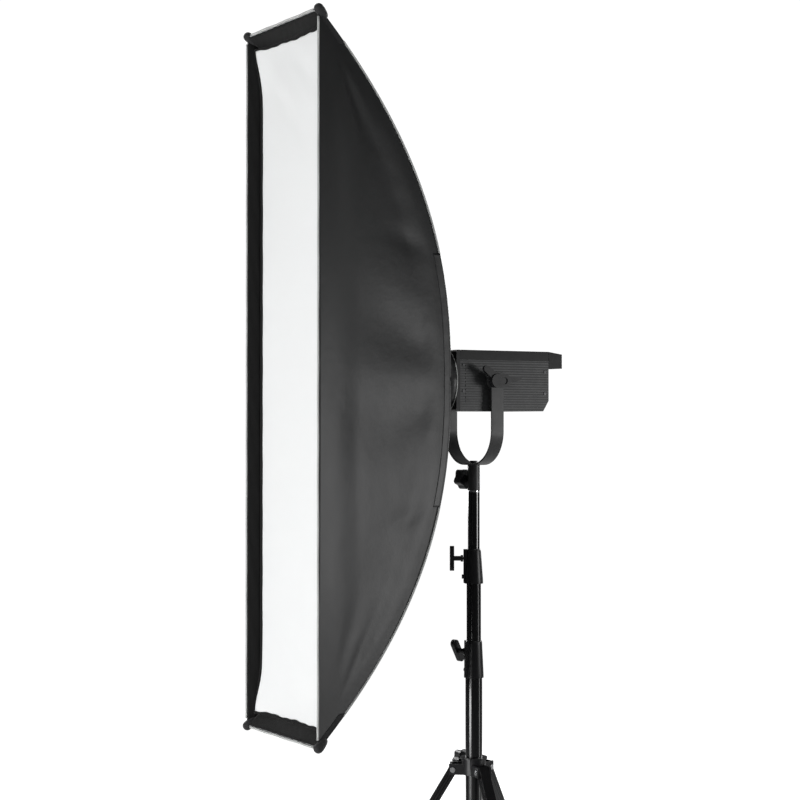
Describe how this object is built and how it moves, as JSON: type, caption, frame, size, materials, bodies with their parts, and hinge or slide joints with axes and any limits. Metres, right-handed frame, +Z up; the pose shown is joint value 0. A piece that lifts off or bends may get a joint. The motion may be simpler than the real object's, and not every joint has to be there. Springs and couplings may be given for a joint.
{
  "type": "studio softbox",
  "caption": "Tall strip softbox on a lamp head with a tilting yoke, held by a telescopic light stand with folding legs.",
  "frame": {"origin": "point on the floor on the axis of the stand column", "axes": "+Z up along the column, -Y the way the softbox faces, +X to the left of someone facing the diffuser"},
  "size_m": [0.8601, 0.952, 2.3086],
  "materials": {
    "black_nylon": "satin-coated black nylon",
    "rim_band": "black hook-and-loop tape",
    "piping": "light grey bound piping",
    "pocket_fabric": "black reinforced canvas",
    "white_diffuser": "white translucent nylon",
    "elastic": "black woven elastic",
    "rod_steel": "sprung steel",
    "ring_metal": "dark grey powder coat",
    "bayonet_steel": "plated steel",
    "housing_paint": "dark grey fine texture paint",
    "cover_plastic": "black moulded plastic",
    "trim_plastic": "black moulded plastic",
    "led_chip": "yellow phosphor on a white board",
    "reflector": "bright spun aluminium",
    "cover_glass": "clear glass",
    "bare_aluminium": "extruded aluminium",
    "circuit_board": "green solder mask",
    "display": "dark display window",
    "knob_plastic": "black moulded plastic",
    "button_plastic": "grey moulded plastic",
    "switch_plastic": "red rocker",
    "screw_steel": "plated steel",
    "yoke_paint": "dark grey satin paint",
    "stud_steel": "plated steel",
    "tube_paint": "gloss black paint",
    "collar_plastic": "black moulded plastic",
    "rivet_steel": "plated steel",
    "foot_rubber": "black rubber"
  },
  "bodies": {
    "stand_base": {"base_tube": "tube_paint", "lower_collar": "collar_plastic", "lower_spider": "collar_plastic"},
    "lower_knob": {"lower_knob": "knob_plastic"},
    "middle_section": {"middle_tube": "tube_paint", "upper_collar": "collar_plastic"},
    "upper_knob": {"upper_knob": "knob_plastic"},
    "upper_section": {"upper_tube": "tube_paint", "stand_spigot": "stud_steel"},
    "tripod_collar": {"tripod_collar": "collar_plastic", "collar_rivets": "rivet_steel"},
    "collar_knob": {"collar_knob": "knob_plastic"},
    "yoke": {"yoke_bracket": "yoke_paint", "yoke_bolt": "screw_steel", "spigot_receiver": "yoke_paint"},
    "receiver_knob": {"receiver_knob": "knob_plastic"},
    "lamp_head": {"lamp_housing": "housing_paint", "top_cover": "cover_plastic", "rear_grip": "cover_plastic", "front_bezel": "trim_plastic", "bayonet_socket": "bayonet_steel", "bayonet_plate": "bayonet_steel", "led_module": "led_chip", "reflector_cup": "reflector", "glass_cover": "cover_glass", "heatsink": "bare_aluminium", "driver_board": "circuit_board", "rear_panel": "trim_plastic", "display_window": "display", "power_inlet": "trim_plastic", "housing_screws": "screw_steel", "pivot_bosses": "yoke_paint"},
    "tilt_lever": {"tilt_lever": "knob_plastic"},
    "release_lever": {"release_lever": "trim_plastic"},
    "fan": {"fan_rotor": "trim_plastic"},
    "dimmer_knob": {"dimmer_knob": "knob_plastic"},
    "mode_button": {"mode_button": "button_plastic"},
    "power_switch": {"power_switch": "switch_plastic"},
    "softbox": {"side_panel_right": "black_nylon", "side_panel_left": "black_nylon", "end_panel_top": "black_nylon", "end_panel_bottom": "black_nylon", "rim_band": "rim_band", "edge_piping": "piping", "corner_pockets": "pocket_fabric", "support_rods": "rod_steel", "outer_diffuser": "white_diffuser", "inner_baffle": "white_diffuser", "baffle_straps": "elastic", "speed_ring": "ring_metal", "rear_collar": "black_nylon"},
    "leg_1": {"leg_1": "tube_paint", "foot_1": "foot_rubber"},
    "brace_1": {"brace_1": "tube_paint"},
    "leg_2": {"leg_2": "tube_paint", "foot_2": "foot_rubber"},
    "brace_2": {"brace_2": "tube_paint"},
    "leg_3": {"leg_3": "tube_paint", "foot_3": "foot_rubber"},
    "brace_3": {"brace_3": "tube_paint"}
  },
  "joints": [
    {"name": "collar_slide", "type": "slide", "parent": "stand_base", "child": "tripod_collar", "axis": [0, 0, 1], "range_m": [0, 0.0953]},
    {"name": "leg_1_fold", "type": "hinge", "parent": "tripod_collar", "child": "leg_1", "pos_m": [0.04258, -0.00598, 0.792], "axis": [0.1392, 0.9903, 0], "range_deg": [0, 30.7]},
    {"name": "brace_1_fold", "type": "hinge", "parent": "leg_1", "child": "brace_1", "pos_m": [0.21448, -0.03014, 0.49965], "axis": [0.1392, 0.9903, 0], "range_deg": [-61.4, 0]},
    {"name": "leg_2_fold", "type": "hinge", "parent": "tripod_collar", "child": "leg_2", "pos_m": [-0.02647, -0.03388, 0.792], "axis": [0.788, -0.6157, 0], "range_deg": [0, 30.7]},
    {"name": "brace_2_fold", "type": "hinge", "parent": "leg_2", "child": "brace_2", "pos_m": [-0.13334, -0.17067, 0.49965], "axis": [0.788, -0.6157, 0], "range_deg": [-61.4, 0]},
    {"name": "leg_3_fold", "type": "hinge", "parent": "tripod_collar", "child": "leg_3", "pos_m": [-0.01611, 0.03987, 0.792], "axis": [-0.9272, -0.3746, 0], "range_deg": [0, 30.7]},
    {"name": "brace_3_fold", "type": "hinge", "parent": "leg_3", "child": "brace_3", "pos_m": [-0.08113, 0.20081, 0.49965], "axis": [-0.9272, -0.3746, 0], "range_deg": [-61.4, 0]},
    {"name": "middle_slide", "type": "slide", "parent": "stand_base", "child": "middle_section", "axis": [0, 0, 1], "range_m": [-0.115, 0.5]},
    {"name": "upper_slide", "type": "slide", "parent": "middle_section", "child": "upper_section", "axis": [0, 0, 1], "range_m": [-0.115, 0.5]},
    {"name": "yoke_pan", "type": "hinge", "parent": "upper_section", "child": "yoke", "pos_m": [0, 0, 1.4], "axis": [0, 0, 1], "continuous": true},
    {"name": "head_tilt", "type": "hinge", "parent": "yoke", "child": "lamp_head", "pos_m": [0, 0, 1.6], "axis": [1, 0, 0], "range_deg": [-60, 15]},
    {"name": "softbox_roll", "type": "hinge", "parent": "lamp_head", "child": "softbox", "pos_m": [0, -0.12, 1.6], "axis": [0, 1, 0], "continuous": true},
    {"name": "tilt_lever_turn", "type": "hinge", "parent": "lamp_head", "child": "tilt_lever", "pos_m": [0.095, 0, 1.6], "axis": [1, 0, 0], "range_deg": [-90, 90]},
    {"name": "lower_knob_turn", "type": "hinge", "parent": "stand_base", "child": "lower_knob", "pos_m": [-0.02898, -0.00777, 1.035], "axis": [-0.9659, -0.2588, 0], "range_deg": [0, 360]},
    {"name": "upper_knob_turn", "type": "hinge", "parent": "middle_section", "child": "upper_knob", "pos_m": [-0.01563, -0.02561, 1.231], "axis": [-0.521, -0.8536, 0], "range_deg": [0, 360]},
    {"name": "collar_knob_turn", "type": "hinge", "parent": "tripod_collar", "child": "collar_knob", "pos_m": [-0.02971, 0.00417, 0.805], "axis": [-0.9903, 0.1392, 0], "range_deg": [0, 360]},
    {"name": "receiver_knob_turn", "type": "hinge", "parent": "yoke", "child": "receiver_knob", "pos_m": [-0.02898, -0.00777, 1.397], "axis": [-0.9659, -0.2588, 0], "range_deg": [0, 360]},
    {"name": "release_lever_slide", "type": "slide", "parent": "lamp_head", "child": "release_lever", "axis": [0, 0, 1], "range_m": [0, 0.004], "stiffness_N_per_m": 300, "springref_m": -0.003},
    {"name": "fan_spin", "type": "hinge", "parent": "lamp_head", "child": "fan", "pos_m": [0, 0.068, 1.6], "axis": [0, 1, 0], "continuous": true},
    {"name": "dimmer_turn", "type": "hinge", "parent": "lamp_head", "child": "dimmer_knob", "pos_m": [0.042, 0.145, 1.585], "axis": [0, 1, 0], "continuous": true},
    {"name": "mode_press", "type": "slide", "parent": "lamp_head", "child": "mode_button", "axis": [0, -1, 0], "range_m": [0, 0.0015], "stiffness_N_per_m": 300, "springref_m": -0.001},
    {"name": "power_rock", "type": "hinge", "parent": "lamp_head", "child": "power_switch", "pos_m": [-0.045, 0.139, 1.582], "axis": [1, 0, 0], "range_deg": [-8, 8]}
  ],
  "couplings": [
    {"joint": "leg_1_fold", "follows": "collar_slide", "rad_per_m": 5.6224},
    {"joint": "brace_1_fold", "follows": "collar_slide", "rad_per_m": -11.245},
    {"joint": "leg_2_fold", "follows": "collar_slide", "rad_per_m": 5.6224},
    {"joint": "brace_2_fold", "follows": "collar_slide", "rad_per_m": -11.245},
    {"joint": "leg_3_fold", "follows": "collar_slide", "rad_per_m": 5.6224},
    {"joint": "brace_3_fold", "follows": "collar_slide", "rad_per_m": -11.245}
  ]
}
